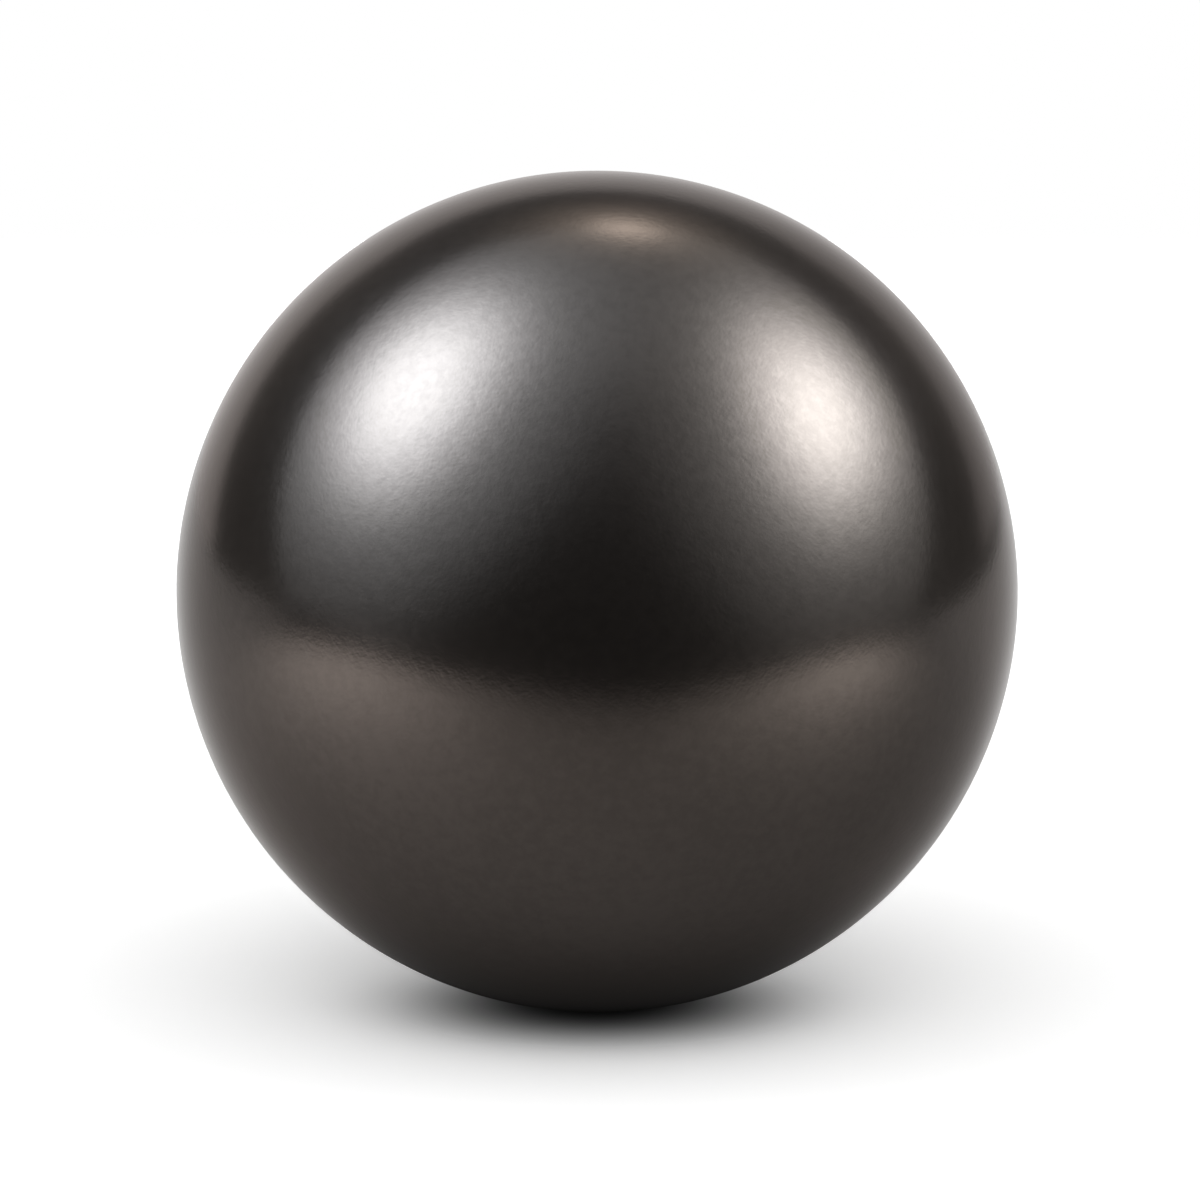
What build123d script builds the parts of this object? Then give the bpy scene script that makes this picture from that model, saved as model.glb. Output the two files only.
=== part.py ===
from build123d import *
import os

# A loose solid metal ball for bench and desk use, at its real size in millimetres.
# The real ball is one piece, ground and tumbled all over: a full sphere, with no bore,
# flat, seam, band or mark. The origin is its centre, with +Z up, and it touches what it
# rests on at the lowest point of the sphere.

# Driving dimension
BALL_DIAMETER = 25.4  # one inch, a stock size of loose steel balls

# Ball
with BuildPart() as ball:
    Sphere(radius=BALL_DIAMETER / 2)

ball.part.label = "ball"

os.makedirs("parts", exist_ok=True)
export_step(ball.part, "parts/ball.step")
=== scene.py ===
import math

import bmesh
import bpy
from mathutils import Matrix, Vector


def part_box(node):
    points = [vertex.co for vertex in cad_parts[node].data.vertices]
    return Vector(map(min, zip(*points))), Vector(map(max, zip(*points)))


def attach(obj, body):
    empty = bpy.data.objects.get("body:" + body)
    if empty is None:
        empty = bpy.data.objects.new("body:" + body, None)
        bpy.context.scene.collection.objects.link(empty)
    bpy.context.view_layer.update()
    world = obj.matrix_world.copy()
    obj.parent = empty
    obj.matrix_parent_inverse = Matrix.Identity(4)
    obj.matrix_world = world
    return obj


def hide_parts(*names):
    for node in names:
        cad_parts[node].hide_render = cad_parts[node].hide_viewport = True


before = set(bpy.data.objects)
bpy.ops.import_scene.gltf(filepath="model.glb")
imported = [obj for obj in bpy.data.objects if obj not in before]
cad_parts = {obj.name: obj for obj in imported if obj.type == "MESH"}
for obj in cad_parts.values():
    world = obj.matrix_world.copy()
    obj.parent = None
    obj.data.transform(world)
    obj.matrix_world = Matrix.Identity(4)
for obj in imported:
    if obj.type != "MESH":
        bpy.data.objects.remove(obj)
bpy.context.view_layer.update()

# Ball, in metres
BALL_LOW, BALL_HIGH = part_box("ball")
RADIUS = (BALL_HIGH.z - BALL_LOW.z) / 2
MILLIMETRE = 0.001
PATCH_CUTS = 96                 # faces along each edge of the six patches that make the ball
WELD_SHARE = 0.1                # patches are merged where corners are within this share of a face

# Camera, as the photograph was taken
LENS_MM = 100
SENSOR_MM = 36
CAMERA_ELEVATION = 11.3         # in degrees
CAMERA_DISTANCE = 0.1014        # from the ball's centre, in metres
CLIP_START = CAMERA_DISTANCE / 100
PHOTO_PIXELS = 1200
BALL_PIXEL = (597.1, 591.5)     # the ball's centre in the photograph

# Satin finish of the ball. Mottle and clouds together make the tone, which sets colour and roughness
STEEL_DARK = (0.0475, 0.0420, 0.0390)
STEEL_LIGHT = (0.0545, 0.0482, 0.0448)
EDGE_TINT = (0.72, 0.70, 0.69)  # how much of the full gloss the metal keeps at a grazing angle
ROUGHNESS_LOW = 0.19
ROUGHNESS_HIGH = 0.2
TONE_LOW = 0.35                 # tones below this one have the dark steel's colour
TONE_HIGH = 0.65                # and tones above this one the light steel's
MOTTLE_SHARE = 0.6
MOTTLE_SIZE_MM = 0.35
MOTTLE_ROUGH = 0.7
CLOUD_SHARE = 0.4
CLOUD_SIZE_MM = 5.0
CLOUD_DETAIL = 1.0

# Relief of the finish: an even grain, and fine lines left by brushing in four directions
GRAIN_SIZE_MM = 0.17
GRAIN_DEPTH_MM = 0.0026
GRAIN_ROUGH = 0.6
BRUSH_TURNS = ((0, 35, 10), (0, -25, 70), (40, 15, 130), (-30, 60, 45))  # degrees about x, y and z
BRUSH_LENGTH_MM = 1.4
BRUSH_WIDTH_MM = 0.075
BRUSH_DEPTH_MM = 0.00042
BRUSH_DETAIL = 0.0

WHITE = (1.0, 1.0, 1.0)

# Light on the table: a dome that is brighter towards the camera, and low light from both sides.
# Together they make a white surface that faces up render as white
DOME_LEVEL = 0.67
DOME_TILT = 0.7
SIDE_LEVEL = 4.28
SIDE_HEIGHT = 0.363             # sine of the elevation at which the low light has halved

# Table, in ball radii from the ball's centre
TABLE_HEIGHT = BALL_LOW.z / RADIUS
TABLE_FRONT = 4.86
TABLE_LEFT = 21.0
TABLE_RIGHT = 11.0
TABLE_PAINT = 0.95
TABLE_SHOWN = 1.42              # how much lighter the camera sees the table, so that it clips to white
PAINTED_SHADE_CENTRE = (0.0, -0.095)  # painted shade under the ball, darker than the dome's own shadow makes it
PAINTED_SHADE_SIZE = (0.41, 0.262)
PAINTED_SHADE_EDGE = 1.6
PAINTED_SHADE_DEPTH = 0.995

# Table as the ball mirrors it, with painted light: painted dimming towards the camera, a painted pool
# of light under each softbox and painted shade round the point where the ball stands
TABLE_PAINTED_FADE = (-2.57, 3.15)      # where the painted dimming starts and ends, towards the camera
# painted light levels of the mirrored table, far behind and near the camera
TABLE_PAINTED_LIGHT_REAR = 1.15
TABLE_PAINTED_LIGHT_NEAR = 0.02
LEFT_PAINTED_LIGHT_POOL = (3.53, 3.34, 3.2)
LEFT_PAINTED_LIGHT_POOL_CENTRE = (-4.76, -2.3)
LEFT_PAINTED_LIGHT_POOL_SIZE = (2.93, 1.95)
RIGHT_PAINTED_LIGHT_POOL = (3.57, 3.39, 3.2)
RIGHT_PAINTED_LIGHT_POOL_CENTRE = (4.77, -2.44)
RIGHT_PAINTED_LIGHT_POOL_SIZE = (2.57, 1.4)
# painted shade round the point where the ball stands, in the table as the ball mirrors it
MIRRORED_PAINTED_SHADE_CENTRE = (0.0, 0.0)
MIRRORED_PAINTED_SHADE_SIZE = (0.66, 0.576)

# Screen behind the ball, in ball radii. It is wider at its base than at its top
SCREEN_DISTANCE = 20.0
SCREEN_HEIGHT = 12.98
SCREEN_HALF_BASE = 28.4
SCREEN_HALF_TOP = 10.6
SCREEN_COLOUR = (1.035, 1.0, 0.99)
SCREEN_LEVEL = 1.02
SCREEN_PAINTED_LIGHT_SLOPE = 0.245            # painted light: the share of its level lost in one screen distance to the right

# The dim studio round the ball, as the ball mirrors it
ROOM = (0.148, 0.146, 0.143)
CEILING = (0.235, 0.24, 0.25)   # what it gains straight above
WALLS = (0.17, 0.165, 0.155)    # what it gains low down on both sides
CORNERS = (4.7, 4.35, 4.0)      # what it gains towards both rear corners, times 0.035 at most
CORNER_POWER = 4.0              # a higher power holds that closer to straight behind

# Lamps. Angles are in degrees as seen from the ball, and slopes are the tangents of such angles
LAMP_DISTANCE = 14.0            # in ball radii
SOFTBOX_REACH = 2.3             # slope from a softbox's core to each edge but its rear one
LEFT_SOFTBOX = {
    "azimuth": -79.15,
    "elevation": 49.2,
    "level": 19.1,
    "colour": (0.91, 1.0, 1.075),
    "half_widths": (15.0, 19.3),
    "turn": 34.3,
    "halo": (0.195, 2.2),
    "flatness": 1.19,
    "lean": 16.0,
    "edges": (SOFTBOX_REACH, 0.575, SOFTBOX_REACH, SOFTBOX_REACH),
}
RIGHT_SOFTBOX = {
    "azimuth": 83.9,
    "elevation": 40.3,
    "level": 21.0,
    "colour": (0.965, 1.0, 1.01),
    "half_widths": (17.2, 12.6),
    "turn": 35.8,
    "halo": (0.1, 2.73),
    "flatness": 1.0,
    "lean": -23.5,
    "edges": (0.547, SOFTBOX_REACH, SOFTBOX_REACH, SOFTBOX_REACH),
}
WARM_LAMP = {
    "azimuth": 171.7,
    "elevation": 58.05,
    "level": 6.9,
    "colour": (1.11, 1.0, 0.88),
    "half_widths": (4.0, 3.0),
    "turn": 0.0,
    "halo": (0.27, 2.9),
    "flatness": 1.0,
    "lean": 0.0,
    "edges": (0.6, 0.6, 0.45, 0.45),
}


class Nodes:
    """Builds one node tree: each method adds a node and returns the output that carries its result."""

    def __init__(self, tree):
        self.tree = tree
        tree.nodes.clear()

    def fill(self, socket, value):
        """Links an input to another node's output, or sets it to a plain number, vector or colour."""
        if isinstance(value, bpy.types.NodeSocket):
            self.tree.links.new(value, socket)
        elif socket.type == "RGBA":
            socket.default_value = (*value, 1.0)
        else:
            socket.default_value = value

    def add(self, kind, inputs=(), **settings):
        """Adds a node with its settings and inputs, and returns the node itself."""
        node = self.tree.nodes.new(kind)
        for name, value in settings.items():
            setattr(node, name, value)
        for name, value in dict(inputs).items():
            self.fill(node.inputs[name], value)
        return node

    def math(self, operation, *values):
        return self.add("ShaderNodeMath", enumerate(values), operation=operation).outputs[0]

    def vector(self, operation, *values):
        node = self.add("ShaderNodeVectorMath", enumerate(values), operation=operation)
        return node.outputs["Value" if operation == "DOT_PRODUCT" else "Vector"]

    def ramp(self, value, low, high, to_low=0.0, to_high=1.0):
        """Goes smoothly from to_low to to_high as the value goes from low to high."""
        inputs = {
            "Value": value,
            "From Min": low,
            "From Max": high,
            "To Min": to_low,
            "To Max": to_high,
        }
        node = self.add("ShaderNodeMapRange", inputs, interpolation_type="SMOOTHSTEP")
        return node.outputs["Result"]

    def mix(self, share, first, second):
        """Goes from the first colour to the second as the share goes from 0 to 1."""
        node = self.add("ShaderNodeMix", data_type="RGBA")
        sockets = {socket.identifier: socket for socket in node.inputs}
        self.fill(sockets["Factor_Float"], share)
        self.fill(sockets["A_Color"], first)
        self.fill(sockets["B_Color"], second)
        return next(socket for socket in node.outputs if socket.identifier == "Result_Color")

    def noise(self, place, size, detail=2.0, rough=0.5):
        """Smooth noise with marks of about the given size, in the units of the place."""
        inputs = {"Vector": place, "Scale": 1 / size, "Detail": detail, "Roughness": rough}
        return self.add("ShaderNodeTexNoise", inputs).outputs["Fac"]

    def finish(self, kind, shader):
        """Adds the tree's output node."""
        self.add(kind, {"Surface": shader})


def new_material(name):
    """A material, and the builder of its empty node tree."""
    material = bpy.data.materials.new(name)
    material.use_nodes = True
    return material, Nodes(material.node_tree)


def direction(azimuth, elevation):
    """The unit vector to a place seen from the ball, with azimuth 0 towards the camera and 90 right."""
    azimuth = math.radians(azimuth)
    elevation = math.radians(elevation)
    level = math.cos(elevation)
    return Vector((math.sin(azimuth) * level, -math.cos(azimuth) * level, math.sin(elevation)))


def brush_lines(n, place, turns):
    """Fine lines along one direction, left by the brush that dulled the surface."""
    inputs = {
        "Vector": place,
        "Rotation": [math.radians(turn) for turn in turns],
        "Scale": (BRUSH_LENGTH_MM, BRUSH_WIDTH_MM, BRUSH_WIDTH_MM),
    }
    along = n.add("ShaderNodeMapping", inputs, vector_type="TEXTURE").outputs["Vector"]
    return n.noise(along, 1.0, BRUSH_DETAIL)


def satin_steel():
    """Dark satin steel: a fine even grain and brush lines, with faint mottling and clouds."""
    material, n = new_material("satin_steel")
    here = n.add("ShaderNodeTexCoord").outputs["Object"]
    place = n.vector("MULTIPLY", here, (1 / MILLIMETRE,) * 3)
    grain = n.noise(place, GRAIN_SIZE_MM, rough=GRAIN_ROUGH)
    mottle = n.math("MULTIPLY", n.noise(place, MOTTLE_SIZE_MM, rough=MOTTLE_ROUGH), MOTTLE_SHARE)
    cloud = n.math("MULTIPLY", n.noise(place, CLOUD_SIZE_MM, CLOUD_DETAIL), CLOUD_SHARE)
    tone = n.math("ADD", mottle, cloud)
    height = n.math("MULTIPLY", grain, GRAIN_DEPTH_MM)
    for turns in BRUSH_TURNS:
        height = n.math("MULTIPLY_ADD", brush_lines(n, place, turns), BRUSH_DEPTH_MM, height)
    bump = n.add("ShaderNodeBump", {"Height": height, "Strength": 1.0, "Distance": MILLIMETRE})
    inputs = {
        "Base Color": n.mix(n.ramp(tone, TONE_LOW, TONE_HIGH), STEEL_DARK, STEEL_LIGHT),
        "Metallic": 1.0,
        "Roughness": n.ramp(tone, TONE_LOW, TONE_HIGH, ROUGHNESS_LOW, ROUGHNESS_HIGH),
        "Specular Tint": EDGE_TINT,
        "Normal": bump.outputs["Normal"],
    }
    shader = n.add("ShaderNodeBsdfPrincipled", inputs)
    n.finish("ShaderNodeOutputMaterial", shader.outputs["BSDF"])
    return material


def ball_mesh(radius, cuts):
    """A sphere of six square patches of near-square faces, so that no pole gathers them."""
    steps = [math.tan(math.pi / 4 * (2 * i / cuts - 1)) for i in range(cuts + 1)]
    patch = [[Vector((x, y, 1)).normalized() for x in steps] for y in steps]
    sides = [Matrix.Rotation(math.radians(turn), 3, "X") for turn in (0, 90, 180, 270)]
    sides += [Matrix.Rotation(math.radians(turn), 3, "Y") for turn in (90, 270)]
    bm = bmesh.new()
    for side in sides:
        grid = [[bm.verts.new(side @ corner * radius) for corner in row] for row in patch]
        for low, high in zip(grid, grid[1:]):
            for i in range(cuts):
                face = bm.faces.new((low[i], low[i + 1], high[i + 1], high[i]))
                face.smooth = True
    bmesh.ops.remove_doubles(bm, verts=bm.verts, dist=radius / cuts * WELD_SHARE)
    mesh = bpy.data.meshes.new("satin_ball")
    bm.to_mesh(mesh)
    bm.free()
    return mesh


def make_ball():
    """The ball itself, in place of the plain solid."""
    ball = bpy.data.objects.new("satin_ball", ball_mesh(RADIUS, PATCH_CUTS))
    ball.data.materials.append(satin_steel())
    bpy.context.scene.collection.objects.link(ball)
    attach(ball, "root")
    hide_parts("ball")


def spot(n, place, centre, size, edge=1.0):
    """An oval spot on the table: 1 at its centre, and half of that at its size from there along x or y.

    An edge above 1 makes it flatter inside and steeper at its rim.
    """
    off = n.vector("DIVIDE", n.vector("SUBTRACT", place, (*centre, 0.0)), (*size, 1.0))
    flat = n.vector("MULTIPLY", off, (1.0, 1.0, 0.0))
    return n.math("POWER", 0.5, n.math("POWER", n.vector("DOT_PRODUCT", flat, flat), edge))


def painted_contact_shade(n, place, centre, size):
    """Painted shade: the share of the colour that is left near the point where the ball touches the
    table.
    """
    return n.math("MULTIPLY_ADD", spot(n, place, centre, size, PAINTED_SHADE_EDGE), -PAINTED_SHADE_DEPTH, 1.0)


def mirrored_table_painted_light(n, place):
    """The table's colour as the ball mirrors it, with painted dimming towards the camera, painted pools
    of light under the softboxes and painted shade where the ball stands.
    """
    towards = n.math("MULTIPLY", n.add("ShaderNodeSeparateXYZ", {0: place}).outputs["Y"], -1.0)
    # painted dimming of the table towards the camera
    painted_dimming = n.ramp(towards, *TABLE_PAINTED_FADE, TABLE_PAINTED_LIGHT_REAR, TABLE_PAINTED_LIGHT_NEAR)
    # painted pools of light under the two softboxes
    left = n.vector("MULTIPLY", LEFT_PAINTED_LIGHT_POOL, spot(n, place, LEFT_PAINTED_LIGHT_POOL_CENTRE, LEFT_PAINTED_LIGHT_POOL_SIZE))
    right = n.vector("MULTIPLY", RIGHT_PAINTED_LIGHT_POOL, spot(n, place, RIGHT_PAINTED_LIGHT_POOL_CENTRE, RIGHT_PAINTED_LIGHT_POOL_SIZE))
    painted_pools_and_dimming = n.vector("ADD", n.vector("ADD", left, right), painted_dimming)
    # painted shade round the point where the ball stands
    shade = painted_contact_shade(n, place, MIRRORED_PAINTED_SHADE_CENTRE, MIRRORED_PAINTED_SHADE_SIZE)
    return n.vector("MULTIPLY", painted_pools_and_dimming, shade)


def table_paint():
    """White paint that clips to pure white for the camera, but for the ball's shadow, which is partly
    real shade from the dome and partly painted shade near the contact point.
    """
    material, n = new_material("white_table")
    path = n.add("ShaderNodeLightPath").outputs
    here = n.add("ShaderNodeTexCoord").outputs["Object"]
    place = n.vector("MULTIPLY", here, (1 / RADIUS,) * 3)
    paint = (TABLE_PAINT,) * 3
    shown = (TABLE_PAINT * TABLE_SHOWN,) * 3
    plain = n.mix(path["Is Camera Ray"], paint, shown)
    # painted shade under the ball, on top of the real shadow from the dome
    plain = n.vector("MULTIPLY", plain, painted_contact_shade(n, place, PAINTED_SHADE_CENTRE, PAINTED_SHADE_SIZE))
    # the ball's reflections see the table with painted light and painted shade
    colour = n.mix(path["Is Glossy Ray"], plain, mirrored_table_painted_light(n, place))
    shader = n.add("ShaderNodeBsdfDiffuse", {"Color": colour})
    n.finish("ShaderNodeOutputMaterial", shader.outputs["BSDF"])
    return material


def stage_sheet(name, corners, material):
    """A flat sheet of the studio, with its corners in ball radii."""
    mesh = bpy.data.meshes.new(name)
    mesh.from_pydata([Vector(corner) * RADIUS for corner in corners], [], [range(len(corners))])
    mesh.materials.append(material)
    sheet = bpy.data.objects.new(name, mesh)
    bpy.context.scene.collection.objects.link(sheet)
    return sheet


def make_table():
    """The flat white table top that the ball stands on, from its front edge back to the screen."""
    corners = [
        (-TABLE_LEFT, -TABLE_FRONT, TABLE_HEIGHT),
        (TABLE_RIGHT, -TABLE_FRONT, TABLE_HEIGHT),
        (TABLE_RIGHT, SCREEN_DISTANCE, TABLE_HEIGHT),
        (-TABLE_LEFT, SCREEN_DISTANCE, TABLE_HEIGHT),
    ]
    stage_sheet("table", corners, table_paint())


def show_in_reflections_only(thing):
    """Hides a lamp or the screen from the camera and the table, and keeps it from casting a shadow."""
    thing.visible_camera = False
    thing.visible_diffuse = False
    thing.visible_shadow = False


def make_screen():
    """The white screen behind the ball, which only the ball's reflections see, with painted light that
    dims it towards the right.
    """
    material, n = new_material("white_screen")
    here = n.add("ShaderNodeTexCoord").outputs["Object"]
    right = n.add("ShaderNodeSeparateXYZ", {0: here}).outputs["X"]
    # painted light: the screen dims towards the right
    painted_falloff = SCREEN_LEVEL * SCREEN_PAINTED_LIGHT_SLOPE / (SCREEN_DISTANCE * RADIUS)
    level = n.math("MULTIPLY_ADD", right, -painted_falloff, SCREEN_LEVEL)
    glow = n.add("ShaderNodeEmission", {"Color": SCREEN_COLOUR, "Strength": level})
    n.finish("ShaderNodeOutputMaterial", glow.outputs["Emission"])
    corners = [
        (-SCREEN_HALF_BASE, SCREEN_DISTANCE, TABLE_HEIGHT),
        (SCREEN_HALF_BASE, SCREEN_DISTANCE, TABLE_HEIGHT),
        (SCREEN_HALF_TOP, SCREEN_DISTANCE, SCREEN_HEIGHT),
        (-SCREEN_HALF_TOP, SCREEN_DISTANCE, SCREEN_HEIGHT),
    ]
    show_in_reflections_only(stage_sheet("screen", corners, material))


def dome_light(n, way, sides, low):
    """The level of the light that falls on the table."""
    overhead = n.math("MULTIPLY_ADD", way["Y"], -DOME_LEVEL * DOME_TILT, DOME_LEVEL)
    return n.math("MULTIPLY_ADD", n.math("MULTIPLY", sides, SIDE_LEVEL), low, overhead)


def studio_glow(n, way, sides, low):
    """The colour of the dim studio that the ball mirrors."""
    above = n.math("MAXIMUM", way["Z"], 0.0)
    behind = n.math("POWER", n.math("MAXIMUM", way["Y"], 0.0), CORNER_POWER)
    gains = (
        (CEILING, n.math("MULTIPLY", above, above)),
        (WALLS, n.math("MULTIPLY", sides, low)),
        (CORNERS, n.math("MULTIPLY", sides, n.math("MULTIPLY", behind, above))),
    )
    glow = ROOM
    for colour, share in gains:
        glow = n.vector("ADD", n.vector("MULTIPLY", share, colour), glow)
    return glow


def make_world():
    """Pure white for the camera, a soft dome for the table, and the dim studio for reflections."""
    world = bpy.data.worlds.new("studio")
    world.use_nodes = True
    world.cycles.sampling_method = "NONE"
    n = Nodes(world.node_tree)
    path = n.add("ShaderNodeLightPath").outputs
    here = n.add("ShaderNodeTexCoord").outputs["Generated"]
    way = n.add("ShaderNodeSeparateXYZ", {0: here}).outputs
    sides = n.math("MULTIPLY", way["X"], way["X"])
    height = n.math("DIVIDE", way["Z"], SIDE_HEIGHT)
    low = n.math("POWER", 0.5, n.math("MULTIPLY", height, height))
    mirrored = n.math("MAXIMUM", path["Is Glossy Ray"], path["Is Transmission Ray"])
    unseen = n.mix(mirrored, dome_light(n, way, sides, low), studio_glow(n, way, sides, low))
    colour = n.mix(path["Is Camera Ray"], unseen, WHITE)
    background = n.add("ShaderNodeBackground", {"Color": colour})
    n.finish("ShaderNodeOutputWorld", background.outputs["Background"])
    bpy.context.scene.world = world


def oval_glow(n, off, turn, half_widths, halo, flatness):
    """A lamp's glow over its panel: 1 at the core, and half of that at the half-widths from it.

    The halo is a wider glow on top, as its share of the core's and the half-widths at which it halves.
    A flatness above 1 makes the glow flatter inside and steeper at its rim.
    """
    turned = n.add("ShaderNodeVectorRotate", {"Vector": off, "Angle": math.radians(turn)})
    slopes = [math.tan(math.radians(width)) for width in half_widths]
    steps = n.vector("DIVIDE", turned.outputs["Vector"], (*slopes, 1.0))
    square = n.vector("DOT_PRODUCT", steps, steps)
    core = n.math("POWER", 0.5, n.math("POWER", square, flatness))
    share, reach = halo
    wide = n.math("POWER", 0.5, n.math("DIVIDE", square, reach ** 2))
    return n.math("MULTIPLY_ADD", wide, share, core)


def panel_matrix(azimuth, elevation, lean, shift):
    """Makes a panel face the ball, leaned about the line to it and shifted along its own axes."""
    away = direction(azimuth, elevation)
    up = (Vector((0, 0, 1)) - away * away.z).normalized()
    left = up.cross(away)
    axes = Matrix((left, up, away)).transposed().to_4x4()
    return axes @ Matrix.Rotation(math.radians(lean), 4, "Z") @ Matrix.Translation(shift)


def make_lamp(name, azimuth, elevation, level, colour, half_widths, turn, halo, flatness, lean, edges):
    """A panel that faces the ball, and whose glow has its core at the given direction and level.

    Turn is the angle of the oval glow and lean that of the panel, both about the line to the ball.
    The edges are the slopes from the core to the panel's left, right, lower and upper edge, as seen
    from the ball.
    """
    left, right, lower, upper = edges
    size = (left + right, lower + upper)
    unit = LAMP_DISTANCE * RADIUS
    lamp = bpy.data.lights.new(name, "AREA")
    lamp.shape = "RECTANGLE"
    lamp.size = size[0] * unit
    lamp.size_y = size[1] * unit
    lamp.color = colour
    lamp.energy = level * math.pi * lamp.size * lamp.size_y
    lamp.use_nodes = True
    n = Nodes(lamp.node_tree)
    here = n.add("ShaderNodeNewGeometry").outputs["Parametric"]
    off = n.vector("SUBTRACT", n.vector("MULTIPLY", here, (*size, 0.0)), (right, lower, 0.0))
    glow = oval_glow(n, off, lean - turn, half_widths, halo, flatness)
    panel = n.add("ShaderNodeEmission", {"Strength": glow})
    n.finish("ShaderNodeOutputLight", panel.outputs["Emission"])

    holder = bpy.data.objects.new(name, lamp)
    shift = ((left - right) / 2 * unit, (upper - lower) / 2 * unit, unit)
    holder.matrix_world = panel_matrix(azimuth, elevation, lean, shift)
    show_in_reflections_only(holder)
    bpy.context.scene.collection.objects.link(holder)


def make_camera():
    """The photograph's camera, turned so that the ball's centre falls on its own pixel."""
    camera = bpy.data.cameras.new("camera")
    camera.lens = LENS_MM
    camera.sensor_width = SENSOR_MM
    camera.clip_start = CLIP_START
    holder = bpy.data.objects.new("camera", camera)
    holder.location = direction(0, CAMERA_ELEVATION) * CAMERA_DISTANCE
    focal_pixels = PHOTO_PIXELS * LENS_MM / SENSOR_MM
    turn_right = math.atan((PHOTO_PIXELS / 2 - BALL_PIXEL[0]) / focal_pixels)
    turn_down = math.atan((PHOTO_PIXELS / 2 - BALL_PIXEL[1]) / focal_pixels)
    level_turn = math.pi / 2 - math.radians(CAMERA_ELEVATION)
    holder.rotation_euler = (level_turn - turn_down, 0, -turn_right)
    bpy.context.scene.collection.objects.link(holder)
    bpy.context.scene.camera = holder


make_ball()
make_table()
make_screen()
make_world()
make_lamp("left_softbox", **LEFT_SOFTBOX)
make_lamp("right_softbox", **RIGHT_SOFTBOX)
make_lamp("warm_lamp", **WARM_LAMP)
make_camera()
bpy.context.scene.view_settings.view_transform = "Standard"
